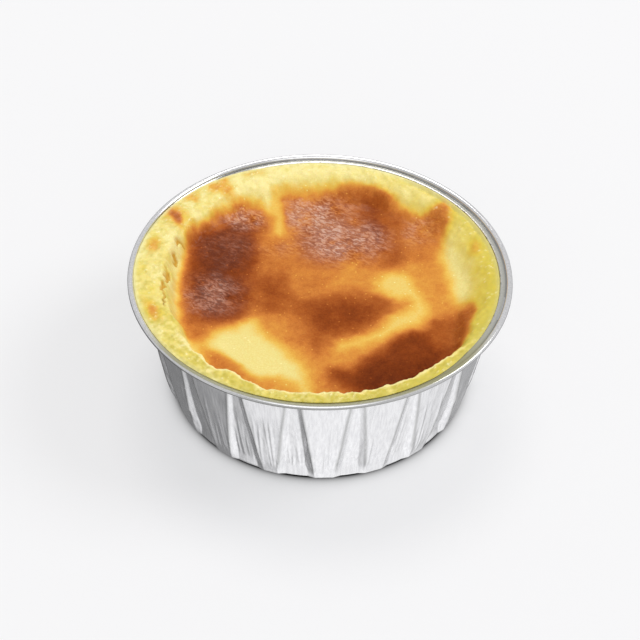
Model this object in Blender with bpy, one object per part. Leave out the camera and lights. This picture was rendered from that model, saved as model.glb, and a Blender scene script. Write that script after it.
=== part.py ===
"""Cheese pie: a baked cheese custard standing in its own pleated aluminium foil cup.

Units are metres and +Z is up. The origin is the middle of the cup's flat base. The front of the
pie faces -Y, and angles around it are measured from the front towards +X.
"""

import math

import bmesh
import bpy

MM = 0.001

# Foil cup: a drawn wall between a flat base and a ledge that ends in a rolled bead.
RIM_RADIUS = 44.0 * MM  # outside of the bead
CUP_HEIGHT = 32.4 * MM  # top of the bead
BEAD_RADIUS = 0.7 * MM
BEAD_STEPS = 7
LEDGE_TOP = 31.7 * MM
FOIL = 0.3 * MM
WALL_TOP = LEDGE_TOP - FOIL
WALL_TOP_RADIUS = 41.2 * MM  # outside of the wall, under the ledge
WALL_TAPER = 4.5 * MM  # how far the wall leans in on its way down
WALL_BELLY = 1.2 * MM  # how much further it curves in close to the base
WALL_ROWS = 6
CORNER_RADIUS = 1.4 * MM
CORNER_STEPS = 3

# Pleats: recesses pressed into the wall, narrow under the ledge and wide at the base.
PLEATS = 19
PLEAT_PITCH = math.tau / PLEATS
FIRST_PLEAT = math.radians(-7.2)
PLEAT_HALF_WIDTH_TOP = math.radians(1.6)
PLEAT_HALF_WIDTH_BASE = math.radians(6.3)
PLEAT_FLOOR = 0.5  # share of the recess's width that is its floor
PLEAT_DEPTH_TOP = 0.35 * MM
PLEAT_DEPTH_MOST = 1.5 * MM
PLEAT_DEPTH_BASE = 0.4 * MM
PLEAT_DEEPEST = 0.8  # share of the way down the wall
COLUMNS_PER_PLEAT = 6
COLUMNS = PLEATS * COLUMNS_PER_PLEAT

# Across a pleat, for each column beside its middle: share of the half width, share of the depth.
PLEAT_SECTION = {
    -2: (-1.0, 0.0),
    -1: (-PLEAT_FLOOR, 1.0),
    0: (0.0, 1.0),
    1: (PLEAT_FLOOR, 1.0),
    2: (1.0, 0.0),
}

# Cheese filling: fills the cup, with a raised uneven lip round a centre that sank as it cooled.
GAP = 0.3 * MM
LIP_EDGE_HEIGHT = 30.6 * MM  # where the filling meets the wall
LIP_CREST_HEIGHT = 31.3 * MM
LIP_CREST_INSET = 2.2 * MM
LIP_SHOULDER_HEIGHT = 30.3 * MM
LIP_SHOULDER_INSET = 5.2 * MM
CENTRE_HEIGHT = 26.6 * MM
CENTRE_EDGE_INSET = 9.8 * MM
CENTRE_RINGS = 3
LIP_WAVE = 0.25 * MM  # how far the lip rises and falls
BAND_WAVE = 1.2 * MM  # how far the inner edge of the lip wanders in and out
LEFT_BAND_EXTRA = 1.5 * MM  # the lip is this much wider on the left


def wall_radius(height):
    """Outside radius of the wall's panels at a height."""
    drop = 1.0 - height / WALL_TOP
    return WALL_TOP_RADIUS - WALL_TAPER * drop - WALL_BELLY * drop**4


def cup_side(inset, top):
    """Profile from the middle of the base to the top of the wall, inside its outer face by inset."""
    corner_centre = wall_radius(CORNER_RADIUS) - CORNER_RADIUS
    corner_reach = CORNER_RADIUS - inset
    points = [(0.0, inset)]
    for step in range(CORNER_STEPS):
        turn = math.radians(90) * step / CORNER_STEPS
        radius = corner_centre + corner_reach * math.sin(turn)
        points.append((radius, CORNER_RADIUS - corner_reach * math.cos(turn)))
    for row in range(WALL_ROWS):
        height = CORNER_RADIUS + (WALL_TOP - CORNER_RADIUS) * row / WALL_ROWS
        points.append((wall_radius(height) - inset, height))
    points.append((wall_radius(top) - inset, top))
    return points


def rolled_bead():
    """Profile of the bead, from the ledge's underside round the outside to the ledge's top."""
    centre_radius = RIM_RADIUS - BEAD_RADIUS
    centre_height = CUP_HEIGHT - BEAD_RADIUS
    start = -math.pi - math.asin((WALL_TOP - centre_height) / BEAD_RADIUS)
    end = math.pi - math.asin((LEDGE_TOP - centre_height) / BEAD_RADIUS)
    points = []
    for step in range(BEAD_STEPS + 1):
        turn = start + (end - start) * step / BEAD_STEPS
        radius = centre_radius + BEAD_RADIUS * math.cos(turn)
        points.append((radius, centre_height + BEAD_RADIUS * math.sin(turn)))
    return points


def pleat_depth(drop):
    """Depth of a pleat, where drop runs from 0 under the ledge to 1 at the base."""
    if drop < PLEAT_DEEPEST:
        return PLEAT_DEPTH_TOP + (PLEAT_DEPTH_MOST - PLEAT_DEPTH_TOP) * drop / PLEAT_DEEPEST
    past = (drop - PLEAT_DEEPEST) / (1.0 - PLEAT_DEEPEST)
    return PLEAT_DEPTH_MOST + (PLEAT_DEPTH_BASE - PLEAT_DEPTH_MOST) * past


def press_pleat(column, radius, height):
    """Angle and radius of a point on the wall once the pleats are pressed in."""
    drop = 1.0 - min(height / WALL_TOP, 1.0)
    half_width = PLEAT_HALF_WIDTH_TOP + (PLEAT_HALF_WIDTH_BASE - PLEAT_HALF_WIDTH_TOP) * drop
    pleat = (column + 2) // COLUMNS_PER_PLEAT
    place = column - pleat * COLUMNS_PER_PLEAT
    middle = FIRST_PLEAT + pleat * PLEAT_PITCH
    if place not in PLEAT_SECTION:
        return middle + PLEAT_PITCH / 2, radius
    width_share, depth_share = PLEAT_SECTION[place]
    return middle + width_share * half_width, radius - depth_share * pleat_depth(drop)


def lump(angle, phase):
    """Slow uneven wave round the pie, between about -1 and 1."""
    wave = math.sin(2 * angle + phase) + 0.7 * math.sin(5 * angle + 2.3 * phase)
    return (wave + 0.5 * math.sin(9 * angle + 3.1 * phase)) / 2.2


def settle_filling(column, radius, height):
    """Angle, radius and height of a point on top of the filling, once it has risen and sunk."""
    angle = FIRST_PLEAT + column * math.tau / COLUMNS
    inset = WALL_TOP_RADIUS - radius
    height += LIP_WAVE * lump(angle, 1.0)
    if inset > LIP_CREST_INSET + FOIL + GAP and radius > 0.0:
        left_share = max(0.0, -math.sin(angle))
        band = BAND_WAVE * lump(angle, 2.0) + LEFT_BAND_EXTRA * left_share
        radius -= band * radius / (WALL_TOP_RADIUS - CENTRE_EDGE_INSET)
    return angle, radius, height


def filling_top():
    """Profile of the filling's top, from its crest inwards to the middle."""
    edge = wall_radius(LIP_EDGE_HEIGHT) - FOIL - GAP
    centre_edge = edge - CENTRE_EDGE_INSET
    points = [
        (edge - LIP_CREST_INSET, LIP_CREST_HEIGHT),
        (edge - LIP_SHOULDER_INSET, LIP_SHOULDER_HEIGHT),
    ]
    for ring in range(CENTRE_RINGS):
        points.append((centre_edge * (1.0 - ring / CENTRE_RINGS), CENTRE_HEIGHT))
    points.append((0.0, CENTRE_HEIGHT))
    return points


def painted(name, colour, roughness, metallic):
    """Plain Principled material."""
    material = bpy.data.materials.new(name)
    material.use_nodes = True
    shader = material.node_tree.nodes["Principled BSDF"]
    shader.inputs["Base Color"].default_value = (*colour, 1.0)
    shader.inputs["Roughness"].default_value = roughness
    shader.inputs["Metallic"].default_value = metallic
    return material


def turned_body(name, profile, place, material):
    """Spin a profile of (radius, height) round Z, then put each point where `place` says."""
    form = bmesh.new()
    row_of = form.verts.layers.int.new("row")
    column_step = math.tau / COLUMNS
    line = []
    for row, (radius, height) in enumerate(profile):
        point = form.verts.new((0.0, -radius, height))
        point[row_of] = row
        line.append(point)
    edges = [form.edges.new(pair) for pair in zip(line, line[1:])]
    bmesh.ops.spin(
        form,
        geom=line + edges,
        cent=(0.0, 0.0, 0.0),
        axis=(0.0, 0.0, 1.0),
        angle=math.tau,
        steps=COLUMNS,
        use_merge=True,
    )
    bmesh.ops.remove_doubles(form, verts=form.verts, dist=0.01 * MM)
    for point in form.verts:
        radius = math.hypot(point.co.x, point.co.y)
        column = round(math.atan2(point.co.x, -point.co.y) / column_step) % COLUMNS
        angle, radius, height = place(point[row_of], column, radius, point.co.z)
        point.co = (radius * math.sin(angle), -radius * math.cos(angle), height)
    bmesh.ops.triangulate(form, faces=form.faces, quad_method="SHORT_EDGE")
    bmesh.ops.recalc_face_normals(form, faces=form.faces)
    mesh = bpy.data.meshes.new(name)
    form.to_mesh(mesh)
    form.free()
    mesh.materials.append(material)
    mesh.shade_smooth()
    mesh.set_sharp_from_angle(angle=math.radians(30))
    body = bpy.data.objects.new(name, mesh)
    bpy.context.collection.objects.link(body)
    return body


def foil_cup():
    """Drawn aluminium foil cup: base, pleated wall, ledge and rolled bead in one piece."""
    outside = cup_side(0.0, WALL_TOP)
    bead = rolled_bead()
    inside = cup_side(FOIL, LEDGE_TOP)
    profile = outside + bead + inside[::-1]

    def place(row, column, radius, height):
        on_bead = len(outside) <= row < len(outside) + len(bead)
        if on_bead or radius == 0.0:
            return FIRST_PLEAT + column * math.tau / COLUMNS, radius, height
        angle, radius = press_pleat(column, radius, height)
        return angle, radius, height

    material = painted("aluminium foil", (0.80, 0.80, 0.82), 0.3, 1.0)
    return turned_body("foil_cup", profile, place, material)


def cheese_filling():
    """Baked cheese custard: one solid out to the cup's inner wall."""
    side = cup_side(FOIL + GAP, LIP_EDGE_HEIGHT)
    profile = side + filling_top()

    def place(row, column, radius, height):
        if row >= len(side):
            return settle_filling(column, radius, height)
        if radius == 0.0:
            return 0.0, radius, height
        angle, radius = press_pleat(column, radius, height)
        return angle, radius, height

    material = painted("baked cheese custard", (0.86, 0.62, 0.16), 0.4, 0.0)
    return turned_body("cheese_filling", profile, place, material)


for leftover in list(bpy.data.objects):
    bpy.data.objects.remove(leftover, do_unlink=True)
foil_cup()
cheese_filling()
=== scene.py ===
"""Cheese pie: looks for a baked cheese custard in its own pleated foil cup."""

import math

import bpy
import numpy as np
from mathutils import Matrix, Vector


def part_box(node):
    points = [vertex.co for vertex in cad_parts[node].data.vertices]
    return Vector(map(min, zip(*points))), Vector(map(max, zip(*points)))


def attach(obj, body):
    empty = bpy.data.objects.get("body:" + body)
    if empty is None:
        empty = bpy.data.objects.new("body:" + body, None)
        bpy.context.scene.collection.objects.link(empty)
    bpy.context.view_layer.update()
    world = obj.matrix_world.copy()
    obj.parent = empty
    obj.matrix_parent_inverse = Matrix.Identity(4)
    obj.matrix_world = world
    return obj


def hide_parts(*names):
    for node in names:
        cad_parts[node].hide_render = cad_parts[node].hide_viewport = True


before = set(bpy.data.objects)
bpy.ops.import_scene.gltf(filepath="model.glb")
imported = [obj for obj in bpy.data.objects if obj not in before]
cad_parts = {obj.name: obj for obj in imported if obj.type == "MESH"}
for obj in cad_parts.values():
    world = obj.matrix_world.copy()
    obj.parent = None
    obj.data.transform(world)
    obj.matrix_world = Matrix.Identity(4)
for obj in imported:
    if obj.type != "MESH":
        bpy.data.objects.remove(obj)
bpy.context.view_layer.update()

# ---------------------------------------------------------------------------------------------
# Foil cup. The real one is a disc of thin bright aluminium drawn into a cup: a flat base, a wall
# pressed into pleats, and a ledge whose edge is rolled into a bead. It is turned from its profile,
# then the pleats, the fine gathers between them and a few dents are pressed in.

MM = 0.001
RIM_RADIUS, _, CUP_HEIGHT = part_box("foil_cup")[1]
BEAD_RADIUS = 0.7 * MM
BEAD_STEPS = 12
LEDGE_TOP = CUP_HEIGHT - BEAD_RADIUS  # level with the middle of the bead
LEDGE_DIP = ((1.52, 0.10), (1.68, 0.10), (1.85, 0.05), (2.05, 0.02))  # mm in from the rim, mm down
WALL_TOP = LEDGE_TOP - 0.3 * MM
WALL_TOP_RADIUS = RIM_RADIUS - 2.8 * MM
WALL_TAPER = 4.5 * MM  # how far the wall leans in on its way down
WALL_BELLY = 1.2 * MM  # how much further it curves in close to the base
WALL_ROWS = 43
CORNER_RADIUS = 1.4 * MM
BASE_RING = ((20.0, 0.0), (20.6, 0.25), (21.6, 0.25), (22.2, 0.0))  # mm from the middle, mm up
INNER_GAP = 0.35 * MM  # between the outer and the inner face
INNER_HEIGHTS = (30.2 * MM, 24.0 * MM, 14.0 * MM, 6.0 * MM)
PLEATS = 19
PLEAT_PITCH = math.tau / PLEATS
FIRST_PLEAT = math.radians(-7.2)
PLEAT_HALF_WIDTHS = (math.radians(1.8), math.radians(6.4))  # under the ledge, at the base
PLEAT_FLANKS = (0.9 * MM, 1.7 * MM)  # width of the sloping sides, under the ledge and at the base
PLEAT_DEPTHS = (0.35 * MM, 1.25 * MM, 0.45 * MM)  # under the ledge, at its deepest, at the base
PLEAT_DEEPEST = 0.85  # share of the way down the wall
PLEAT_FOLD = math.radians(0.45)  # half width of the crease along each side of a pleat
PANEL_FLATNESS = 0.7  # share of the way from round to flat, between two pleats
GATHERS = 16  # for each pleat
RIM_UNEVENNESS = 0.04 * MM
RIM_GRAIN = 0.02  # grain of the smooth rim, where the wall's is 1
CUP_COLUMNS = PLEATS * 64
MERGE_DISTANCE = 0.001 * MM
chance = np.random.default_rng(19)


def wall_radius(height):
    """Outside radius of the cup's wall between its pleats."""
    drop = 1.0 - height / WALL_TOP
    return WALL_TOP_RADIUS - WALL_TAPER * drop - WALL_BELLY * drop**4


def ease(low, high, value):
    """Rises smoothly from 0 at low to 1 at high."""
    share = np.clip((value - low) / (high - low), 0.0, 1.0)
    return share * share * (3.0 - 2.0 * share)


def smooth_noise(across, up, seed, wrap=97):
    """Random heights between -1 and 1 on unit cells, joined smoothly, repeating after wrap cells."""
    rows = 97
    table = np.random.default_rng(seed).uniform(-1.0, 1.0, (wrap, rows))
    column, row = np.floor(across).astype(int), np.floor(up).astype(int)
    part_across, part_up = ease(0.0, 1.0, across - column), ease(0.0, 1.0, up - row)
    here, there = column % wrap, (column + 1) % wrap
    below, above = row % rows, (row + 1) % rows
    low = table[here, below] * (1.0 - part_across) + table[there, below] * part_across
    high = table[here, above] * (1.0 - part_across) + table[there, above] * part_across
    return low * (1.0 - part_up) + high * part_up


pleat_shift = chance.uniform(-0.5, 0.5, PLEATS) * math.radians(1.0)
pleat_width = chance.uniform(0.92, 1.1, PLEATS)
pleat_strength = chance.uniform(0.85, 1.1, PLEATS)


def pleat_press(angle, height):
    """How far the foil is pressed in by its pleats and flat panels, and how sharp its creases are; the
    creases also place painted shade.
    """
    drop = np.clip(1.0 - height / WALL_TOP, 0.0, 1.0)
    turn = (angle - FIRST_PLEAT) / PLEAT_PITCH
    number = np.round(turn).astype(int)
    pleat = number % PLEATS
    offset = np.abs((turn - number) * PLEAT_PITCH - pleat_shift[pleat])
    narrow, wide = PLEAT_HALF_WIDTHS
    half = (narrow + (wide - narrow) * drop) * pleat_width[pleat]
    top, most, base = PLEAT_DEPTHS
    depth = top + (most - top) * np.clip(drop / PLEAT_DEEPEST, 0.0, 1.0)
    depth += (base - most) * ease(PLEAT_DEEPEST, 1.0, drop)
    steep_top, steep_base = PLEAT_FLANKS
    flank = (steep_top + (steep_base - steep_top) * drop) / wall_radius(height)
    flank = np.minimum(flank, half)
    recess = depth * pleat_strength[pleat] * np.clip((half - offset) / flank, 0.0, 1.0)
    panel_half = PLEAT_PITCH / 2 - half
    from_middle = np.clip(PLEAT_PITCH / 2 - offset, 0.0, panel_half)
    chord = wall_radius(height) * (1.0 - np.cos(panel_half) / np.cos(from_middle))
    flat = PANEL_FLATNESS * np.where(offset > half, chord, 0.0)
    fold = np.exp(-(((offset - half) / PLEAT_FOLD) ** 2))
    return recess + flat, fold


def pressed_radius(angle, height):
    """Outside radius of the pleated wall."""
    return wall_radius(height) - pleat_press(angle, height)[0]


def cup_profile():
    """Half section of the cup, from the middle of the base out, up, over the bead and back inside."""
    foot = wall_radius(CORNER_RADIUS) - CORNER_RADIUS
    points = [(0.0, 0.0)] + [(radius * MM, height * MM) for radius, height in BASE_RING]
    ring_edge = points[-1][0]
    points += [(ring_edge + (foot - ring_edge) * step / 4, 0.0) for step in range(1, 4)]
    for step in range(5):
        turn = math.radians(18 * step)
        points.append((foot + CORNER_RADIUS * math.sin(turn), CORNER_RADIUS * (1 - math.cos(turn))))
    heights = np.linspace(CORNER_RADIUS, WALL_TOP, WALL_ROWS)
    points += [(wall_radius(height), height) for height in heights]
    bead_middle = RIM_RADIUS - BEAD_RADIUS
    start = -math.pi - math.asin((WALL_TOP - LEDGE_TOP) / BEAD_RADIUS)
    for step in range(BEAD_STEPS + 1):
        turn = start + (math.pi - start) * step / BEAD_STEPS
        out, up = BEAD_RADIUS * math.cos(turn), BEAD_RADIUS * math.sin(turn)
        points.append((bead_middle + out, LEDGE_TOP + up))
    points += [(RIM_RADIUS - inset * MM, LEDGE_TOP - dip * MM) for inset, dip in LEDGE_DIP]
    points.append((WALL_TOP_RADIUS + 0.35 * MM, LEDGE_TOP))
    points.append((WALL_TOP_RADIUS + 0.02 * MM, LEDGE_TOP - 0.1 * MM))
    points += [(wall_radius(height) - INNER_GAP, height) for height in INNER_HEIGHTS]
    points += [(foot - INNER_GAP, INNER_GAP), (0.0, INNER_GAP)]
    return points


bpy.ops.object.select_all(action="DESELECT")
bpy.ops.mesh.primitive_plane_add(size=MM)
cup = bpy.context.object
cup.name = cup.data.name = "pleated_foil_cup"
bpy.ops.object.mode_set(mode="EDIT")
bpy.ops.mesh.merge(type="CENTER")
profile = cup_profile()
for (radius, height), (last_radius, last_height) in zip(profile[1:], profile):
    move = (radius - last_radius, 0.0, height - last_height)
    bpy.ops.mesh.extrude_region_move(TRANSFORM_OT_translate={"value": move})
bpy.ops.object.mode_set(mode="OBJECT")
turning = cup.modifiers.new("turning", "SCREW")
turning.steps = turning.render_steps = CUP_COLUMNS
turning.use_merge_vertices = True
turning.merge_threshold = MERGE_DISTANCE
bpy.ops.object.modifier_apply(modifier="turning")
bpy.ops.object.mode_set(mode="EDIT")
bpy.ops.mesh.select_all(action="SELECT")
bpy.ops.mesh.remove_doubles(threshold=MERGE_DISTANCE)
bpy.ops.mesh.normals_make_consistent(inside=False)
bpy.ops.object.mode_set(mode="OBJECT")


def read_points(piece):
    """The piece's points as an array."""
    points = np.empty(len(piece.data.vertices) * 3)
    piece.data.vertices.foreach_get("co", points)
    return points.reshape(-1, 3)


def write_points(piece, points):
    """Put the piece's points where the array says."""
    piece.data.vertices.foreach_set("co", points.ravel())
    piece.data.update()


def write_mask(piece, name, values):
    """Store one value a point under a name that a material reads."""
    layer = piece.data.attributes.new(name, "FLOAT", "POINT")
    layer.data.foreach_set("value", np.ascontiguousarray(values, dtype=np.float32))


def gathers(angle, height):
    """Fine upright wrinkles that the press leaves in the lower wall, with rounded ends."""
    relief = np.zeros_like(angle)
    for number in range(PLEATS * GATHERS):
        middle = FIRST_PLEAT + PLEAT_PITCH * number / GATHERS + chance.normal(0.0, 0.005)
        low = chance.uniform(2.4, 4.6) * MM
        high = low + chance.uniform(5.0, 21.0) * MM
        width = chance.uniform(0.26, 0.42) * MM
        rise = chance.uniform(0.05, 0.14) * MM
        lean = chance.normal(0.0, 0.35) * MM
        along = np.clip((height - low) / (high - low), 0.0, 1.0)
        away = np.remainder(angle - middle + math.pi, math.tau) - math.pi
        away = away * wall_radius(height) - lean * along
        near = np.abs(away) < 3 * width
        ends = ease(low, low + 0.9 * MM, height[near]) * (1.0 - ease(high - 6.0 * MM, high, height[near]))
        relief[near] += rise * ends * np.exp(-((away[near] / width) ** 2))
    return relief


# Press in the pleats, gathers and dents. The inner face follows the pleats only.
points = read_points(cup)
radius, height = np.hypot(points[:, 0], points[:, 1]), points[:, 2]
angle = np.arctan2(points[:, 0], -points[:, 1])
round_cells = angle / math.tau + 0.5
foot = wall_radius(CORNER_RADIUS) - CORNER_RADIUS
base_edge = foot - 6 * MM
on_wall = (radius > base_edge) & (height < WALL_TOP + 0.25 * MM) & (radius < WALL_TOP_RADIUS + 0.3 * MM)
outer = on_wall & ((radius > wall_radius(height) - 0.05 * MM) | (height < CORNER_RADIUS))
press, fold = pleat_press(angle, height)
fade = ease(base_edge, foot + 1.0 * MM, radius)
fade *= 1.0 - ease(WALL_TOP - 0.4 * MM, WALL_TOP + 0.2 * MM, height)
dents = 0.10 * smooth_noise(round_cells * 34, height / (7 * MM), 5, 34)
dents += 0.035 * smooth_noise(round_cells * 110, height / (3.6 * MM), 6, 110)
rises = (gathers(angle, height) + 0.05 * MM * fold + dents * MM) * ease(1.2 * MM, 3.0 * MM, height)
change = np.where(on_wall, -press * fade, 0.0) + np.where(outer, rises * fade, 0.0)
rim_dents = smooth_noise(round_cells * 24, height * 0, 7, 24) * RIM_UNEVENNESS
change += np.where(on_wall, 0.0, rim_dents * ease(WALL_TOP_RADIUS, RIM_RADIUS, radius))
points[:, :2] *= ((radius + change) / np.maximum(radius, 1e-9))[:, None]
rim_sag = smooth_noise(round_cells * 17, height * 0, 8, 17) * RIM_UNEVENNESS
points[:, 2] += np.where(radius > WALL_TOP_RADIUS, rim_sag, 0.0)
write_points(cup, points)

# Painted shade, a darker foil colour where shade falls: in the folds, under the ledge, and along both sides
# of the bead.
in_front = ease(0.35, 0.75, np.cos(angle))
on_top = height > WALL_TOP + 0.2 * MM
over_middle = height - LEDGE_TOP
creased = np.where(outer, 0.63 * fold * ease(2 * MM, 7 * MM, height), 0.0)
tucked = np.exp(-(((height - WALL_TOP) / (0.25 * MM)) ** 2))
tucked *= (radius > WALL_TOP_RADIUS - 0.6 * MM) & (radius < RIM_RADIUS - 0.9 * MM)
bead_foot = 0.8 * np.exp(-(((radius - RIM_RADIUS + 1.5 * MM) / (0.14 * MM)) ** 2)) * on_top
bead_side = 0.4 * (1.0 - in_front) * ease(RIM_RADIUS - 0.16 * MM, RIM_RADIUS - 0.06 * MM, radius)
bead_side *= over_middle > 0.0
bead_under = in_front * ease(0.30 * MM, 0.06 * MM, over_middle) * (radius > RIM_RADIUS - 0.6 * MM)
creased += tucked + bead_foot + bead_side + bead_under
write_mask(cup, "painted_crease_shade", np.clip(creased, 0.0, 1.0))
write_mask(cup, "pressed", np.where(on_wall, 1.0, RIM_GRAIN))

# Painted reflection of the custard: the ledge is tinted olive-grey. In front the bead's top is painted dark
# olive and made non-metallic, a painted shade that hides its highlight.
reflection_edge = RIM_RADIUS - (1.2 - 0.80 * in_front) * MM
ledge_reflection = (0.5 + 0.5 * in_front) * (1.0 - ease(reflection_edge - 0.5 * MM, reflection_edge, radius))
write_mask(cup, "ledge", on_top * ledge_reflection)
bead_top_shade = in_front * (1.0 - ease(RIM_RADIUS - 0.40 * MM, RIM_RADIUS - 0.27 * MM, radius))
write_mask(cup, "painted_bead_shade", on_top * bead_top_shade)
bpy.ops.object.shade_smooth_by_angle(angle=math.radians(35))


def node_maker(tree):
    """Maker of shader nodes in a tree: each input is a number, a colour or another node's output."""

    def add(kind, inputs=None, **settings):
        node = tree.nodes.new("ShaderNode" + kind)
        for key, value in settings.items():
            setattr(node, key, value)
        for key, value in (inputs or {}).items():
            if isinstance(value, bpy.types.NodeSocket):
                tree.links.new(value, node.inputs[key])
            else:
                node.inputs[key].default_value = value
        return node

    return add


def new_material(name):
    """Material, its Principled shader, and the makers of its links and nodes."""
    material = bpy.data.materials.new(name)
    material.use_nodes = True
    tree = material.node_tree
    return material, tree.nodes["Principled BSDF"], tree.links.new, node_maker(tree)


def mask(add, name):
    """The values that were stored on the piece under a name."""
    return add("Attribute", attribute_name=name).outputs["Fac"]


def combine(add, operation, first, second):
    """One number from two."""
    return add("Math", {0: first, 1: second}, operation=operation).outputs["Value"]


def blend(add, amount, first, second):
    """Colour between two, by an amount from 0 to 1."""
    return add("Mix", {"Factor": amount, "A": first, "B": second}, data_type="RGBA").outputs[2]


def spread(add, value, low, high, at_low, at_high):
    """Number that goes from at_low to at_high as the value goes from low to high."""
    limits = {"From Min": low, "From Max": high, "To Min": at_low, "To Max": at_high}
    return add("MapRange", {"Value": value, **limits}).outputs["Result"]


FOIL_DULL = (0.82, 0.815, 0.83, 1.0)
FOIL_BRIGHT = (0.94, 0.935, 0.945, 1.0)
CREASE_SHADE_GREY = (0.32, 0.32, 0.31, 1.0)
PAINTED_CUSTARD_REFLECTION = (0.62, 0.61, 0.46, 1.0)
BEAD_SHADE_OLIVE = (0.29, 0.28, 0.16, 1.0)
BEAD_ROUGHNESS = 0.17
foil, shader, link, add = new_material("bright soft foil")
place = add("TexCoord").outputs["Object"]
upright = add("Mapping", {"Vector": place, "Scale": (1.0, 1.0, 0.045)}).outputs["Vector"]
streaks = add("TexNoise", {"Vector": upright, "Scale": 2300.0, "Detail": 2.0}).outputs["Fac"]
grain = add("TexNoise", {"Vector": place, "Scale": 2400.0, "Detail": 2.0}).outputs["Fac"]
smears = add("TexNoise", {"Vector": place, "Scale": 160.0, "Detail": 3.0}).outputs["Fac"]
texture = add("Mix", {"Factor": 0.5, "A": streaks, "B": grain}, data_type="FLOAT").outputs["Result"]
pressed = mask(add, "pressed")
relief = combine(add, "MULTIPLY", texture, pressed)
bump = add("Bump", {"Height": relief, "Strength": 0.5, "Distance": 0.06 * MM})
link(bump.outputs["Normal"], shader.inputs["Normal"])
smeared = {"Factor": pressed, "A": BEAD_ROUGHNESS, "B": spread(add, smears, 0.3, 0.7, 0.20, 0.30)}
link(add("Mix", smeared, data_type="FLOAT").outputs["Result"], shader.inputs["Roughness"])
streaked = blend(add, spread(add, streaks, 0.35, 0.65, 0.0, 1.0), FOIL_DULL, FOIL_BRIGHT)
# Painted reflection of the custard on the ledge, and painted shade on the bead's top in front, where the
# metal is turned off.
ledge_reflection = blend(add, mask(add, "ledge"), streaked, PAINTED_CUSTARD_REFLECTION)
# Painted shade: the foil's colour darkened to grey in the folds, under the ledge and along the bead.
creased = blend(add, mask(add, "painted_crease_shade"), ledge_reflection, CREASE_SHADE_GREY)
painted_bead_shade = mask(add, "painted_bead_shade")
link(blend(add, painted_bead_shade, creased, BEAD_SHADE_OLIVE), shader.inputs["Base Color"])
link(combine(add, "SUBTRACT", 1.0, painted_bead_shade), shader.inputs["Metallic"])
cup.data.materials.append(foil)
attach(cup, "root")
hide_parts("foil_cup")

# ---------------------------------------------------------------------------------------------
# Cheese filling. The real one is a set custard of cheese, egg and milk: a bubbly lemon-yellow lip
# stands against the foil, the centre has sunk, and the grill has browned it in patches. It is a
# square grid bent into a disc, with rows below its edge for the side. Its sizes are in millimetres.

GRID = 270  # cells along each side of the square
SIDE_HEIGHTS = (31.2, 30.4, 29.6, 27.0, 20.0, 12.0, 5.0, 2.2, 0.5)
SIDE_GAP = 0.6  # between the side and the outside of the foil
FLOOR_HEIGHT = 26.8
SURFACE_ON_LEDGE = 31.85  # least height of the custard over the ledge
LAPPING_EDGE = 31.83  # height of the edge where the custard laps over the ledge
HELD_IN_DROP = 0.33  # how much lower the edge is where the foil holds it in
BUBBLES = 420
TEAR_DEPTH = 0.75
WRINKLE_TURN = math.radians(-28)


def around(angle, *stops):
    """Value at an angle round the pie, from stops of (degrees from the front towards +X, value)."""
    degrees, values = zip(*sorted(stops))
    marks = np.concatenate([np.array(degrees) + turn for turn in (-360, 0, 360)])
    return np.interp(np.degrees(angle) % 360, marks, np.tile(values, 3))


def mottle(x, y, cell, seed):
    """Random heights on cells of a size in millimetres."""
    return smooth_noise(x / cell, y / cell, seed)


def blob(x, y, middle_x, middle_y, length, width, turn, power=4):
    """Soft oval spot: 1 inside, half at its edge, 0 outside."""
    along_x, along_y = math.cos(math.radians(turn)), math.sin(math.radians(turn))
    along = ((x - middle_x) * along_x + (y - middle_y) * along_y) / length
    across = ((y - middle_y) * along_x - (x - middle_x) * along_y) / width
    return np.exp(-0.7 * (along**2 + across**2) ** (power / 2))


def line_distance(x, y, start, end):
    """Distance to a straight line between two points, and the share of the way along it."""
    (x0, y0), (x1, y1) = start, end
    length_squared = (x1 - x0) ** 2 + (y1 - y0) ** 2
    run = np.clip(((x - x0) * (x1 - x0) + (y - y0) * (y1 - y0)) / length_squared, 0, 1)
    return np.hypot(x - x0 - run * (x1 - x0), y - y0 - run * (y1 - y0)), run


def path_distance(x, y, path):
    """Distance to a path of points, and the share of the way along it."""
    nearest = np.full_like(x, 1e9)
    share = np.zeros_like(x)
    for number, (start, end) in enumerate(zip(path, path[1:])):
        gap, run = line_distance(x, y, start, end)
        share = np.where(gap < nearest, (number + run) / (len(path) - 1), share)
        nearest = np.minimum(nearest, gap)
    return nearest, share


def outline_depth(x, y, outline):
    """Distance inside a closed outline of points, negative outside it."""
    nearest = np.full_like(x, 1e9)
    inside = np.zeros(x.shape, dtype=bool)
    for (x0, y0), (x1, y1) in zip(outline, outline[1:] + outline[:1]):
        nearest = np.minimum(nearest, line_distance(x, y, (x0, y0), (x1, y1))[0])
        if y0 != y1:
            inside ^= ((y0 > y) != (y1 > y)) & (x < x0 + (x1 - x0) * (y - y0) / (y1 - y0))
    return np.where(inside, nearest, -nearest)


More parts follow.
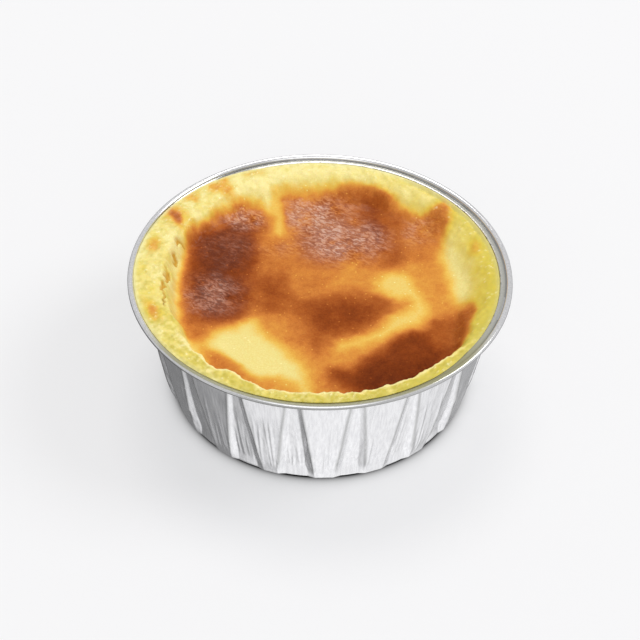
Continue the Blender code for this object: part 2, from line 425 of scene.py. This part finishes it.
# Browning in millimetres, one patch painted over another: how brown, softness of the edge, outline.
BROWNED = [
    (0.44, 2.0, [
        (-31.3, 12.5), (-30.4, 16), (-28, 20.3), (-24.5, 23.5), (-22, 25.8), (-20.5, 28), (-18, 29.2),
        (-15.3, 29.2), (-13.3, 27.3), (-12.3, 26.6), (-11.2, 28.5), (-11, 32.5), (-9, 33.8), (-4, 34.3),
        (1, 35), (6, 35.2), (11, 34.7), (14.5, 33.4), (17.5, 30.6), (20.5, 27.4), (23.5, 25.4),
        (27, 25.6), (29, 28), (31, 28), (31.2, 24), (30.6, 18.5), (29, 14), (28.5, 11), (29.3, 7),
        (30.4, 3), (30.9, -2), (31.6, -5), (34.3, -5.8), (35.3, -9), (34.6, -14), (32.8, -19),
        (31.5, -22), (27, -28), (20, -34), (10, -39), (2, -39), (-1.5, -35), (-2.6, -31), (-2.9, -28),
        (-4, -25.3), (-8, -21.3), (-11, -18.2), (-13.5, -15.2), (-15, -12), (-17, -12.8), (-19, -14.8),
        (-23, -16.3), (-24.5, -18.5), (-25.5, -20.6), (-27.5, -20.2), (-29.6, -19), (-31, -15.5),
        (-31.8, -10), (-32.1, -3), (-31.9, 2), (-31.7, 7),
    ]),
    (0.57, 1.6, [
        (-31.3, 11), (-30.8, 15), (-29.3, 18), (-26, 21.5), (-22.5, 24.3), (-21, 26), (-19.5, 27.9),
        (-17, 28.3), (-14.8, 27.2), (-13.3, 24.5), (-12.3, 21), (-12, 18), (-10, 17), (-8, 17.4),
        (-6.8, 19.5), (-9, 21.5), (-9.2, 27), (-9.3, 31), (-6, 31.8), (-3, 32), (1, 33.2), (5, 34.3),
        (10, 34.2), (14, 32.9), (17, 30), (20, 27), (22.5, 24.6), (24.5, 23.6), (28, 25), (30.2, 25.7),
        (30.4, 22), (29.3, 18), (28, 15), (26.5, 12.5), (26, 10.5), (24.5, 9), (21.5, 10), (19, 8.5),
        (15, 6.7), (11, 7), (6, 8.7), (4.8, 7), (4, 5), (-3, 5.5), (-6, 5.5), (-6, 2), (-4.5, -1.2),
        (0, -1.8), (5, 0), (9, -0.2), (12, -2.3), (16, -3.8), (18.7, -5.5), (17, -8), (14.8, -10.5),
        (12, -13.5), (9.5, -16), (6, -17.5), (3.5, -18.5), (3, -21), (2.2, -23), (-0.5, -23.6),
        (-2.5, -22), (-4.5, -20.3), (-6.8, -18.5), (-6.3, -15.5), (-7.3, -13.3), (-9, -11.6),
        (-12, -10.7), (-14.8, -10), (-17, -11.2), (-20, -13.6), (-24.7, -14.5), (-25.3, -17),
        (-26.5, -18.6), (-28.5, -18.2), (-30, -16.5), (-30.9, -11), (-31.5, -5), (-31.7, 0), (-31.5, 5),
    ]),
    (0.70, 1.4, [
        (-31.3, 11), (-30.5, 15), (-28.5, 18.6), (-25.5, 21.5), (-22.5, 23.5), (-20, 25.5), (-17, 26.3),
        (-14.5, 25), (-13.8, 21.5), (-14.3, 17), (-14.7, 12), (-14.5, 7), (-14, 4.3), (-11, 4),
        (-8.3, 4.2), (-7, 2), (-6.7, -1), (-6.5, -3.7), (-4, -4.6), (2, -4), (5, -3), (10, -2.4),
        (14.5, -3.2), (16.8, -5), (15.5, -8), (13.5, -10.5), (11, -13), (8, -15.4), (5, -16.5), (2, -17),
        (1.2, -20), (0, -21.8), (-1.7, -20.5), (-2.2, -17), (-4, -13.5), (-5, -10.5), (-7, -9.3),
        (-11, -9.3), (-14, -7.6), (-15.7, -7), (-17.5, -9.5), (-20, -12.5), (-24, -13.6), (-28.5, -13.8),
        (-30, -12), (-31, -7), (-31.4, 0), (-31.5, 6),
    ]),
    (0.68, 1.5, [
        (2, 33), (6, 33.7), (11, 33.4), (15, 31.8), (17.5, 28), (20, 25), (20.3, 20), (19.5, 14.5),
        (19.5, 10.5), (17, 8.3), (14.5, 8), (12, 10), (9, 11.5), (5, 10), (0, 8.5), (-3, 9.5), (-5, 13),
        (-6, 16.5), (-4, 21), (-2, 26), (0, 30.5),
    ]),
    (0.87, 1.6, [
        (-30, 10), (-29.7, 14.5), (-28, 17.5), (-25, 19), (-22.5, 21.3), (-19.5, 22), (-17.3, 21),
        (-16.5, 16), (-15.7, 11), (-16, 6), (-16.5, 1.5), (-16, -4), (-17, -8), (-19.5, -11),
        (-23, -12.3), (-26, -11.5), (-27.5, -9), (-29, -5), (-29.5, 0), (-30, 5),
    ]),
    (0.98, 4.0, [
        (-28, 8), (-27, 14), (-22, 17), (-18, 15), (-18, 8), (-21, 3), (-26, 4),
    ]),
    (0.80, 1.6, [
        (10.5, 31.3), (14.5, 31.3), (15.5, 28), (14.5, 24), (16, 19), (14, 16), (12, 20), (11, 25),
    ]),
    (0.83, 2.0, [
        (-1, -7), (5, -5), (8, -5.5), (12, -6.5), (12.3, -9), (10, -11.5), (8, -14), (4.5, -15),
        (1, -14.5), (-1, -11),
    ]),
    (0.55, 2.2, [
        (-6, 5), (0, 5), (4, 4), (3, 0), (-2, -1.5), (-5, -1),
    ]),
    (0.77, 1.5, [
        (-13, -2), (-12, 1), (-10, -1), (-9, -3.5), (-12, -3.5),
    ]),
    (0.58, 1.2, [
        (34.2, -6.8), (33.2, -7.8), (30, -8.6), (28, -8.5), (26, -10), (24.5, -12.5), (22, -14.2),
        (19, -15.2), (17, -16.8), (14, -19), (11, -21.5), (8, -23.7), (5, -25.3), (1.8, -26), (0.3, -28),
        (0.8, -30.5), (2, -32.5), (4.5, -34.8), (4, -38), (10, -40), (20, -35), (28, -28), (32, -20.5),
        (33, -18), (34.2, -13), (35, -9),
    ]),
    (0.72, 1.0, [
        (33.3, -8.5), (31, -9), (29, -10.8), (26, -11), (24.5, -13.5), (22, -15), (19.5, -15.3),
        (17, -17.5), (15, -20), (12, -21), (10, -23), (7.5, -25.5), (5, -26.8), (2.8, -27.5),
        (2.5, -29.5), (4.5, -32), (7, -34.5), (9, -39), (20, -35), (28, -28), (31.5, -20.5), (32.4, -17),
        (33, -13), (33.7, -10),
    ]),
    (0.88, 1.3, [
        (20, -15.7), (23.5, -15.3), (25.2, -17), (25.7, -20), (28.3, -20), (27.5, -22.5), (25, -27),
        (20, -33), (12, -36), (10, -32.5), (6.5, -32), (5, -30), (4.5, -28), (8, -27.3), (10, -25.5),
        (12.5, -23), (15, -21.5), (16.5, -19),
    ]),
    (0.97, 3.0, [
        (13, -26), (20, -23), (25, -23), (26, -26), (20, -33), (12, -35), (8, -32),
    ]),
    (0.36, 1.3, [
        (-26.8, -20.3), (-24.5, -20), (-20.5, -23.8), (-17, -26.7), (-14.3, -29.4), (-11.5, -30.2),
        (-7.5, -29.9), (-4.8, -31.2), (-3.6, -34), (-5, -38), (-15, -38), (-22.5, -30), (-26.8, -23.5),
    ]),
    (0.44, 0.9, [
        (-25.4, -22.6), (-24, -22.3), (-20.5, -24), (-17, -26.5), (-15, -29.5), (-13, -31.6),
        (-9.5, -31.5), (-7.5, -32.4), (-5.5, -34.5), (-8, -38), (-19, -33), (-25.4, -25),
    ]),
    (0.56, 1.0, [
        (-24, -24.2), (-23, -23.5), (-20, -25), (-18, -27.3), (-16.3, -29.5), (-18, -31), (-23, -27),
    ]),
    (0.17, 1.8, [
        (13.2, 1.5), (14.5, 4), (17, 5.3), (19.5, 5), (21.3, 3), (22.2, 0), (23.5, -2.5), (24.8, -5.5),
        (24.7, -8.5), (22.5, -11.8), (19.5, -13.8), (16.5, -15.3), (14, -17.3), (10, -18.8), (6.5, -20.6),
        (4.7, -21), (4.5, -19.7), (7, -18.9), (10, -17), (13, -15), (15, -12.5), (16, -10.8), (18.5, -9),
        (20.8, -7), (21.3, -5), (20, -4), (16.5, -3.3), (13.5, -1),
    ]),
    (0.24, 1.0, [
        (-12.4, 30), (-11.6, 24), (-11.2, 20), (-10, 17.8), (-8.8, 20), (-9.4, 24), (-10, 28),
        (-10.3, 33), (-12.4, 33),
    ]),
    (0.36, 1.4, [
        (-28.3, 30), (-27, 28), (-23, 27.6), (-21.3, 28.5), (-21.8, 31), (-23, 34), (-24.5, 34),
        (-25.5, 31.5), (-28, 31),
    ]),
    (0.32, 1.2, [
        (-33.8, 26), (-31.8, 27.8), (-30.2, 26.7), (-29.8, 24.3), (-31.5, 24.6), (-33.5, 24),
    ]),
]
# Small toasted spots: middle, half length, half width, turn of the length, darkness.
TOASTED = [
    (-34.6, 18.2, 3.6, 1.5, 113, 0.66),
    (-35.2, 19.5, 5.0, 3.2, 110, 0.30),
    (-39, 7.5, 2.6, 1.6, 90, 0.34),
    (-36.8, -15, 3.6, 1.5, -62, 0.44),
    (-17, 36, 3, 1.4, 20, 0.16),
    (36.3, 11, 2.8, 1.7, 90, 0.36),
]
# Skin that puffed and dried into glossy wrinkles: middle, half length, half width, turn, strength.
WRINKLED = [
    (-25, -3.5, 7, 7, 95, 0.66),
    (-22, 13, 7, 7, 0, 0.32),
    (-18, 24, 4.5, 4.0, 30, 1.0),
    (-1, 25, 9, 8, 0, 1.0),
    (5, 17, 10, 8, 0, 1.0),
    (24, 20, 5, 4.0, 60, 0.6),
    (-10, 13, 5, 3.0, 0, 0.4),
]
# Tears in the skin, where it has pulled from the rim: the path, and half the greatest width.
TEARS = [
    ([(-33.9, 9.6), (-33.7, 10.9), (-32.3, 11.1), (-32.4, 10.5)], 0.36),
    ([(-34.1, 7.4), (-34.2, 6.0), (-33.7, 4.5)], 0.42),
    ([(-35.3, 0.2), (-34.9, -2.0), (-34.9, -3.6)], 0.66),
    ([(-35.0, -3.4), (-35.7, -4.6), (-35.3, -6.2), (-35.5, -8.0)], 0.40),
    ([(-35.5, -7.5), (-35.0, -9.2), (-34.9, -10.4), (-34.4, -13.0)], 0.14),
]


def browning(x, y):
    """How far the grill has browned the custard, from 0 to 1."""
    bent_x = x + 0.4 * mottle(x, y, 3.5, 11) + 0.3 * mottle(x, y, 1.4, 12)
    bent_y = y + 0.4 * mottle(x, y, 3.5, 14) + 0.3 * mottle(x, y, 1.4, 15)
    back = around(np.arctan2(x, -y), (60, 0.0), (100, 0.4), (150, 0.9), (200, 1.0), (270, 0.8),
                  (310, 0.3), (330, 0.0))
    brown = 0.075 + 0.02 * mottle(x, y, 7.0, 17) - 0.07 * back * ease(27.0, 34.0, np.hypot(x, y))
    for darkness, softness, outline in BROWNED:
        depth = outline_depth(bent_x, bent_y, outline)
        brown += (darkness - brown) * ease(-1.35 * softness, 1.35 * softness, depth)
    for *spot, darkness in TOASTED:
        brown = np.maximum(brown, darkness * blob(bent_x, bent_y, *spot, 2.5))
    freckles = 0.09 * mottle(x, y, 1.5, 24) + 0.05 * mottle(x, y, 0.8, 25)
    freckles *= blob(x, y, -28, 28, 12, 6, 45, 2.5)
    uneven = 0.04 * mottle(x, y, 3.5, 21) + 0.025 * mottle(x, y, 1.3, 22) + 0.03 * mottle(x, y, 0.6, 23)
    return np.clip(brown + freckles + uneven * ease(0.1, 0.5, brown), 0.0, 1.0)


def filling_edge(angle):
    """Radius of the filling's edge: it laps over the ledge in front and on the left."""
    return around(angle, (0, 42.35), (20, 42.3), (36, 42.1), (44, 41.75), (51, 41.3), (58, 41.2),
                  (90, 41.1), (150, 41.0), (180, 41.2), (201, 41.25), (208, 41.4), (220, 42.0),
                  (240, 42.5), (270, 42.8), (300, 42.6), (330, 42.4))


bpy.ops.object.select_all(action="DESELECT")
bpy.ops.mesh.primitive_grid_add(x_subdivisions=GRID, y_subdivisions=GRID, size=2.0)
filling = bpy.context.object
filling.name = filling.data.name = "baked_cheese_filling"
top_count = len(filling.data.vertices)
bpy.ops.object.mode_set(mode="EDIT")
bpy.ops.mesh.select_all(action="SELECT")
bpy.ops.mesh.region_to_loop()
level = 0.0
for side_height in SIDE_HEIGHTS:
    move = (0, 0, side_height * MM - level)
    bpy.ops.mesh.extrude_region_move(TRANSFORM_OT_translate={"value": move})
    level = side_height * MM
bpy.ops.mesh.edge_face_add()
bpy.ops.mesh.select_all(action="SELECT")
bpy.ops.mesh.normals_make_consistent(inside=False)
bpy.ops.object.mode_set(mode="OBJECT")

# Bend the square grid into a disc that fills the edge.
points = read_points(filling)
square_x, square_y = points[:, 0].copy(), points[:, 1].copy()
disc_x = square_x * np.sqrt(1.0 - square_y**2 / 2)
disc_y = square_y * np.sqrt(1.0 - square_x**2 / 2)
angle = np.arctan2(disc_x, -disc_y)
edge = filling_edge(angle)
x, y = disc_x * edge, disc_y * edge
radius = np.hypot(x, y)

# The lip: where its crest lies, how wide its slope is, and how far up it each point is.
crest = around(angle, (0, 39.6), (14, 39.7), (25, 40.0), (37, 39.8), (48, 39.4), (60, 40.0), (90, 41.0),
               (135, 41.5), (180, 41.0), (225, 39.0), (250, 37.2), (270, 36.6), (300, 37.2), (315, 38.3),
               (323, 39.0), (334, 38.6), (342, 39.8))
crest += 0.45 * mottle(x, y, 4.5, 1) + 0.3 * mottle(x, y, 1.8, 2) + 0.2 * mottle(x, y, 0.9, 6)
slope = around(angle, (0, 1.5), (44, 1.6), (52, 3.0), (65, 8.0), (90, 11.0), (135, 12.0), (180, 12.5),
               (225, 9.0), (250, 5.0), (270, 4.0), (300, 4.2), (310, 2.6), (318, 1.6))
lip_height = around(angle, (0, 32.0), (45, 31.9), (60, 31.4), (90, 31.2), (150, 31.2), (180, 31.4),
                    (225, 31.9), (270, 32.0))
climb = np.clip((radius - crest + slope) / slope, 0.0, 1.0)
raised = climb**3 * (climb * (6.0 * climb - 15.0) + 10.0)
on_front = around(angle, (300, 0.0), (318, 1.0), (45, 1.0), (62, 0.0))
lumpy = around(angle, (0, 1.0), (50, 0.9), (70, 0.35), (120, 0.4), (160, 0.6), (205, 0.8), (235, 1.0),
               (270, 1.0))

# Colours: browned, lemon-yellow on the lip, and a darker olive on it in front and along its right edge,
# where by the foil it is painted shade.
brown = browning(x, y) * (1.0 - on_front * ease(0.25, 0.7, raised))
yolk = around(angle, (0, 0.5), (40, 0.7), (90, 1.0), (125, 0.6), (160, 0.2), (200, 0.0), (250, 0.1),
              (270, 0.3), (320, 0.45))
yolk = yolk * ease(29.0, 40.0, radius) + 0.3 * lumpy * (mottle(x, y, 3.2, 61) + 0.8 * mottle(x, y, 1.3, 62))
# In front a paler line along the crest: painted highlight.
yolk -= 0.8 * on_front * np.exp(-(((radius - crest) / 0.4) ** 2))
lemon = np.clip(yolk, 0.0, 1.0) * ease(0.0, 0.5, raised) * (1.0 - ease(0.2, 0.5, brown))
olive = around(angle, (0, 0.75), (45, 0.75), (60, 0.45), (90, 0.05), (130, -0.15), (180, -0.35),
               (230, -0.2), (270, 0.05), (300, 0.3), (320, 0.6))
olive += 0.45 * lumpy * (0.6 * mottle(x, y, 1.9, 63) + mottle(x, y, 0.8, 64) + 0.8 * mottle(x, y, 0.5, 65))
# Painted shade along the right edge, next to the foil.
edge_shade_by_foil = around(angle, (50, 0.0), (65, 0.7), (120, 0.75), (150, 0.4), (200, 0.3), (220, 0.0))
olive += edge_shade_by_foil * ease(36.5, 40.9, radius)
olive *= ease(0.3, 0.9, raised) * (1.0 - ease(0.15, 0.4, brown))
# The olive also gives way along the front crest, for the same painted highlight.
olive = np.clip(olive - on_front * np.exp(-(((radius - crest) / 0.35) ** 2)), 0.0, 1.0)

# Heights of the top: the sunken floor, the lip with its lumps, and small bubbles set in it.
floor_height = FLOOR_HEIGHT + 0.3 * mottle(x, y, 9.0, 4) + 0.08 * mottle(x, y, 4.0, 5)
surface = floor_height + (lip_height + 0.2 * lumpy * mottle(x, y, 6.0, 3) - floor_height) * raised
bubbly = ease(0.5, 0.95, raised) * lumpy
lumps = 0.17 * mottle(x, y, 2.4, 31) + 0.18 * mottle(x, y, 1.2, 32) + 0.13 * mottle(x, y, 0.7, 33)
surface += bubbly * lumps + (1.0 - bubbly) * 0.02 * mottle(x, y, 1.3, 34)
beads = np.zeros_like(x)
for _ in range(BUBBLES):
    turn, out = chance.uniform(0.0, math.tau), chance.uniform(35.0, 41.4)
    size = chance.uniform(0.14, 0.36)
    gap = np.hypot(x - out * math.sin(turn), y + out * math.cos(turn)) / size
    beads = np.maximum(beads, np.exp(-(gap**2)) * (0.5 + size))
beads *= ease(0.55, 0.8, raised)
surface += 0.16 * beads

# The edge: over the ledge in front and on the left, held in by the foil elsewhere, with a shallow
# groove beside it at the back right.
held_in = around(angle, (50, 0.0), (60, 1.0), (198, 1.0), (208, 0.0))
edge_height = LAPPING_EDGE - HELD_IN_DROP * held_in
laps = ease(31.7, 31.8, edge_height) * ease(40.4, 41.0, radius)
surface = np.maximum(surface, SURFACE_ON_LEDGE * laps)
groove = around(angle, (95, 0.0), (112, 0.35), (120, 0.2), (128, 0.45), (142, 0.35), (152, 0.0))
rounding = ease(0.0, 1.0, (radius - edge + 1.1) / 1.1)
settled = np.minimum(edge_height, surface)
settled += held_in * (edge_height - settled)
surface += (settled - surface) * rounding**2
surface -= groove * np.exp(-(((edge - radius - 0.9) / 0.5) ** 2))

# Wrinkles in the dried skin, and the tears.
wrinkled = np.zeros_like(x)
for *patch, strength in WRINKLED:
    wrinkled = np.maximum(wrinkled, strength * blob(x, y, *patch, 3))
wrinkled *= ease(0.4, 0.6, brown)
turn_x = x * math.cos(WRINKLE_TURN) + y * math.sin(WRINKLE_TURN)
turn_y = y * math.cos(WRINKLE_TURN) - x * math.sin(WRINKLE_TURN) + 0.7 * mottle(x, y, 2.0, 41)
ridges = 1.0 - 2.2 * np.abs(smooth_noise(turn_x / 2.0, turn_y / 0.9, 42))
ridges += 0.7 * (1.0 - 2.2 * np.abs(smooth_noise(turn_x / 1.0, turn_y / 0.6, 43)))
surface += wrinkled * (0.07 * ridges + 0.12 * mottle(x, y, 4.0, 44) + 0.15)
sheen = np.clip(0.70 + 0.55 * mottle(x, y, 4.0, 45) + 0.35 * mottle(x, y, 1.4, 46), 0.05, 1.0)
ragged_x, ragged_y = x + 0.45 * mottle(x, y, 0.8, 51), y + 0.45 * mottle(x, y, 0.8, 52)
torn = np.zeros_like(x)
for path, widest in TEARS:
    gap, share = path_distance(ragged_x, ragged_y, path)
    half_width = widest * (0.25 + 0.75 * np.sin(np.pi * np.clip(share, 0.03, 0.97)))
    torn = np.maximum(torn, 1.0 - ease(half_width - 0.12, half_width + 0.22, gap))
surface -= TEAR_DEPTH * torn

# The side follows the pleats just inside the foil. Its top row tucks in under the edge.
side = np.arange(len(points)) >= top_count
under_edge = side & (np.abs(points[:, 2] - SIDE_HEIGHTS[0] * MM) < 0.01 * MM)
side_height = np.where(side, points[:, 2], surface * MM)
side_height = np.where(under_edge, (edge_height - 0.27) * MM, side_height)
side_radius = pressed_radius(angle, side_height) / MM - SIDE_GAP
side_radius -= np.where(side_height < CORNER_RADIUS, 1.5 * (1.0 - side_height / CORNER_RADIUS), 0.0)
shrink = np.minimum(edge / np.maximum(side_radius, 1e-9), 1.0)
side_radius *= 1.0 - (1.0 - shrink) * ease(24.0 * MM, 29.5 * MM, side_height)
side_radius = np.where(under_edge, np.minimum(edge - 0.1, 40.9 - 0.15 * held_in), side_radius)
scale = np.where(side, side_radius, radius) / np.maximum(radius, 1e-9)
write_points(filling, np.stack([x * scale * MM, y * scale * MM, side_height], axis=1))

# Bubbles are pale, partly their own colour and partly a painted highlight; the custard where it thins out
# at its edge is pale too.
thin = around(angle, (35, 0.0), (90, 0.35), (150, 0.6), (200, 0.5), (270, 0.8), (320, 0.4), (345, 0.0))
thin *= ease(edge - 1.3, edge - 0.1, radius)
write_mask(filling, "brown", brown)
write_mask(filling, "lemon", lemon)
write_mask(filling, "olive", olive)
write_mask(filling, "wrinkled", wrinkled)
write_mask(filling, "bubbles", np.maximum(0.6 * ease(0.25, 0.8, beads), thin))
write_mask(filling, "torn", torn)
write_mask(filling, "wet", np.clip(wrinkled * sheen + 0.25 * bubbly + 0.6 * beads, 0.0, 1.0))
bpy.ops.object.shade_smooth()

# How brown, then red, green and blue.
BROWNING_COLOURS = [
    (0.00, 0.90, 0.79, 0.34),
    (0.07, 0.81, 0.69, 0.25),
    (0.13, 0.81, 0.62, 0.19),
    (0.22, 0.80, 0.52, 0.105),
    (0.32, 0.75, 0.395, 0.064),
    (0.42, 0.69, 0.29, 0.048),
    (0.52, 0.60, 0.205, 0.036),
    (0.62, 0.48, 0.140, 0.024),
    (0.72, 0.37, 0.090, 0.013),
    (0.82, 0.27, 0.054, 0.006),
    (0.92, 0.19, 0.034, 0.003),
    (1.00, 0.13, 0.020, 0.001),
]
YOLK = (0.76, 0.595, 0.065, 1.0)
OLIVE = (0.60, 0.50, 0.085, 1.0)
PALE_BUBBLE_HIGHLIGHT = (0.94, 0.86, 0.42, 1.0)
PAINTED_SHEEN_PINK = (0.60, 0.375, 0.30, 1.0)
INSIDE_OF_TEAR = (0.62, 0.35, 0.05, 1.0)
custard, shader, link, add = new_material("baked cheese custard")
browned = mask(add, "brown")
puffed = mask(add, "wrinkled")
place = add("TexCoord").outputs["Object"]
fine = add("TexNoise", {"Vector": place, "Scale": 2600.0, "Detail": 2.0}).outputs["Fac"]
cells = add("TexVoronoi", {"Vector": place, "Scale": 520.0, "Randomness": 1.0}).outputs["Distance"]
crease_size = {"Rotation": (0.0, 0.0, WRINKLE_TURN), "Scale": (1.6 * MM, 0.8 * MM, MM)}
turned = add("Mapping", {"Vector": place, **crease_size}, vector_type="TEXTURE").outputs["Vector"]
creases = add("TexNoise", {"Vector": turned, "Scale": 1.0, "Detail": 3.0, "Distortion": 1.0}).outputs["Fac"]
crease_height = combine(add, "MULTIPLY", creases, puffed)
specks = spread(add, cells, 0.06, 0.13, -0.2, 0.0)
uneven = combine(add, "ADD", browned, spread(add, fine, 0.3, 0.7, -0.035, 0.035))
speckled = combine(add, "ADD", uneven, specks)
# Painted shade and light on the wrinkles: browner in their hollows, paler on their ridges.
painted_wrinkle_shade = combine(add, "MULTIPLY", spread(add, creases, 0.35, 0.65, 0.17, -0.15), puffed)
ramp = add("ValToRGB", {"Fac": combine(add, "ADD", speckled, painted_wrinkle_shade)})
stops = ramp.color_ramp.elements
while len(stops) < len(BROWNING_COLOURS):
    stops.new(0.5)
for stop, (position, *rgb) in zip(stops, BROWNING_COLOURS):
    stop.position = position
    stop.color = (*rgb, 1.0)
lemony = blend(add, mask(add, "lemon"), ramp.outputs["Color"], YOLK)
olive_and_edge_shade = blend(add, mask(add, "olive"), lemony, OLIVE)
# Pale bubbles, partly a painted highlight.
bubble_paleness_and_highlight = blend(add, mask(add, "bubbles"), olive_and_edge_shade, PALE_BUBBLE_HIGHLIGHT)
wet = mask(add, "wet")
# Painted sheen: glossy ridge tops of the wrinkles are painted a pale pink.
sheen_on_ridges = combine(add, "MULTIPLY", spread(add, creases, 0.49, 0.60, 0.2, 0.95), wet)
painted_ridge_sheen = blend(add, combine(add, "MULTIPLY", sheen_on_ridges, puffed), bubble_paleness_and_highlight, PAINTED_SHEEN_PINK)
link(blend(add, mask(add, "torn"), painted_ridge_sheen, INSIDE_OF_TEAR), shader.inputs["Base Color"])
link(spread(add, browned, 0.2, 0.8, 0.5, 0.42), shader.inputs["Roughness"])
creased = add("Bump", {"Height": crease_height, "Strength": 0.8, "Distance": 0.34 * MM}).outputs["Normal"]
grainy = add("Bump", {"Height": fine, "Strength": 0.3, "Distance": 0.08 * MM, "Normal": creased})
link(grainy.outputs["Normal"], shader.inputs["Normal"])
shader.inputs["Subsurface Weight"].default_value = 0.08
shader.inputs["Subsurface Radius"].default_value = (1.0, 0.5, 0.2)
shader.inputs["Subsurface Scale"].default_value = 1.5 * MM
shader.inputs["Specular IOR Level"].default_value = 0.05
link(wet, shader.inputs["Coat Weight"])
link(creased, shader.inputs["Coat Normal"])
shader.inputs["Coat Roughness"].default_value = 0.14
filling.data.materials.append(custard)
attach(filling, "root")
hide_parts("cheese_filling")

# ---------------------------------------------------------------------------------------------
# Studio: a plain pale table, soft light from the right and from behind, surroundings that the foil
# mirrors, and the camera.

TABLE_RADIUS = 2.0
CONTACT_RADIUS = 34.9 * MM  # just outside the cup's foot
CONTACT_FADE = 1.1 * MM
CARD = (0.42, 0.42, 0.424, 1.0)
CARD_GLOW = (1.0, 1.0, 1.01, 1.0)
CARD_GLOW_STRENGTH = 0.465
PAINTED_CONTACT_SHADOW = (0.01, 0.01, 0.01, 1.0)
NO_GLOW = (0.0, 0.0, 0.0, 1.0)
bpy.ops.object.select_all(action="DESELECT")
below_cup = (0, 0, -0.02 * MM)
bpy.ops.mesh.primitive_circle_add(vertices=96, radius=TABLE_RADIUS, fill_type="NGON", location=below_cup)
table = bpy.context.object
table.name = table.data.name = "pale_table"
table.visible_glossy = False
white, shader, link, add = new_material("matt white card, lit from below")
shader.inputs["Roughness"].default_value = 1.0
shader.inputs["Specular IOR Level"].default_value = 0.0
place = add("TexCoord").outputs["Object"]
flat = add("Mapping", {"Vector": place, "Scale": (1.0, 1.0, 0.0)}).outputs["Vector"]
away = add("VectorMath", {0: flat}, operation="LENGTH").outputs["Value"]
# Painted contact shadow: close round the cup's foot the card's colour and its glow both fade to black.
fall = combine(add, "DIVIDE", combine(add, "SUBTRACT", away, CONTACT_RADIUS), -CONTACT_FADE)
contact_shade = add("Math", {0: fall}, operation="EXPONENT", use_clamp=True).outputs[0]
link(blend(add, contact_shade, CARD_GLOW, NO_GLOW), shader.inputs["Emission Color"])
link(blend(add, contact_shade, CARD, PAINTED_CONTACT_SHADOW), shader.inputs["Base Color"])
shader.inputs["Emission Strength"].default_value = CARD_GLOW_STRENGTH
table.data.materials.append(white)


def soft_box(name, size, distance, azimuth, elevation, power, colour=(1.0, 1.0, 1.0)):
    """Round soft light aimed at the pie: azimuth from the front towards +X, in degrees."""
    lamp = bpy.data.lights.new(name, "AREA")
    lamp.shape = "DISK"
    lamp.size = size
    lamp.energy = power
    lamp.color = colour
    light = bpy.data.objects.new(name, lamp)
    bpy.context.collection.objects.link(light)
    turn, rise = math.radians(azimuth), math.radians(elevation)
    light.location = (
        distance * math.cos(rise) * math.sin(turn),
        -distance * math.cos(rise) * math.cos(turn),
        distance * math.sin(rise),
    )
    tilt = Matrix.Rotation(math.pi / 2 - rise, 4, "X")
    light.rotation_euler = (Matrix.Rotation(turn, 4, "Z") @ tilt).to_euler()


soft_box("key_right", 2.0, 4.0, 97, 42, 54.5)
soft_box("sheen_back", 2.0, 4.0, 190, 65, 39.0, (1.0, 0.96, 0.92))

AIR = 0.64
GROUND = 0.95
AIR_COLOUR = (0.985, 0.99, 1.0, 1.0)
world = bpy.data.worlds.new("studio air")
bpy.context.scene.world = world
world.use_nodes = True
add = node_maker(world.node_tree)
direction = add("TexCoord").outputs["Generated"]


def smooth_range(value, from_min, from_max, to_min, to_max):
    """Smooth change of a value from one range to another."""
    limits = {"From Min": from_min, "From Max": from_max, "To Min": to_min, "To Max": to_max}
    node = add("MapRange", {"Value": value, **limits}, interpolation_type="SMOOTHSTEP")
    return node.outputs["Result"]


def toward(x, y, z, core, rim, strength):
    """The strength within core degrees of a direction, falling to 0 at rim degrees."""
    length = math.sqrt(x * x + y * y + z * z)
    aimed = {0: direction, 1: (x / length, y / length, z / length)}
    dot = add("VectorMath", aimed, operation="DOT_PRODUCT").outputs["Value"]
    inner, outer = math.cos(math.radians(core)), math.cos(math.radians(rim))
    return combine(add, "MULTIPLY", smooth_range(dot, outer, inner, 0.0, 1.0), strength)


# The surroundings are brighter below than above, apart from a dark card behind on the left and one
# behind on the right. Three glows lighten the foil: from below and behind, from below and in front,
# and from above and in front.
height = add("SeparateXYZ", {"Vector": direction}).outputs["Z"]
below = smooth_range(height, -0.30, 0.0, 1.0, 0.0)
left_card = toward(-0.6, 0.5, -0.62, 18, 62, 0.76)
right_card = toward(0.45, 0.65, -0.61, 10, 40, 0.55)
cards = combine(add, "MULTIPLY", combine(add, "ADD", left_card, right_card), below)
glow = toward(0.0, 0.35, -0.93, 4, 22, 0.25)
glow = combine(add, "ADD", glow, toward(0.10, -0.24, -0.96, 4, 17, 0.12))
glow = combine(add, "ADD", glow, toward(0.0, -0.88, 0.47, 11, 36, 0.80))
ground = combine(add, "MULTIPLY", below, GROUND - AIR)
brightness = combine(add, "ADD", combine(add, "ADD", ground, AIR), glow)
brightness = combine(add, "MULTIPLY", brightness, combine(add, "SUBTRACT", 1.0, cards))
air = world.node_tree.nodes["Background"]
world.node_tree.links.new(brightness, air.inputs["Strength"])
air.inputs["Color"].default_value = AIR_COLOUR

CAMERA_DISTANCE = 352 * MM
CAMERA_ELEVATION = math.radians(42.9)
CAMERA_ROLL = math.radians(1.2)
AIM = (0.17 * MM, 0.0, 16.2 * MM)
lens = bpy.data.cameras.new("camera")
lens.lens = 83.8
lens.sensor_width = 36.0
lens.clip_start = 0.01
camera = bpy.data.objects.new("camera", lens)
bpy.context.collection.objects.link(camera)
camera.location = (
    AIM[0],
    AIM[1] - CAMERA_DISTANCE * math.cos(CAMERA_ELEVATION),
    AIM[2] + CAMERA_DISTANCE * math.sin(CAMERA_ELEVATION),
)
look = Matrix.Rotation(math.pi / 2 - CAMERA_ELEVATION, 4, "X") @ Matrix.Rotation(CAMERA_ROLL, 4, "Z")
camera.rotation_euler = look.to_euler()
bpy.context.scene.camera = camera
bpy.context.scene.view_settings.view_transform = "Standard"
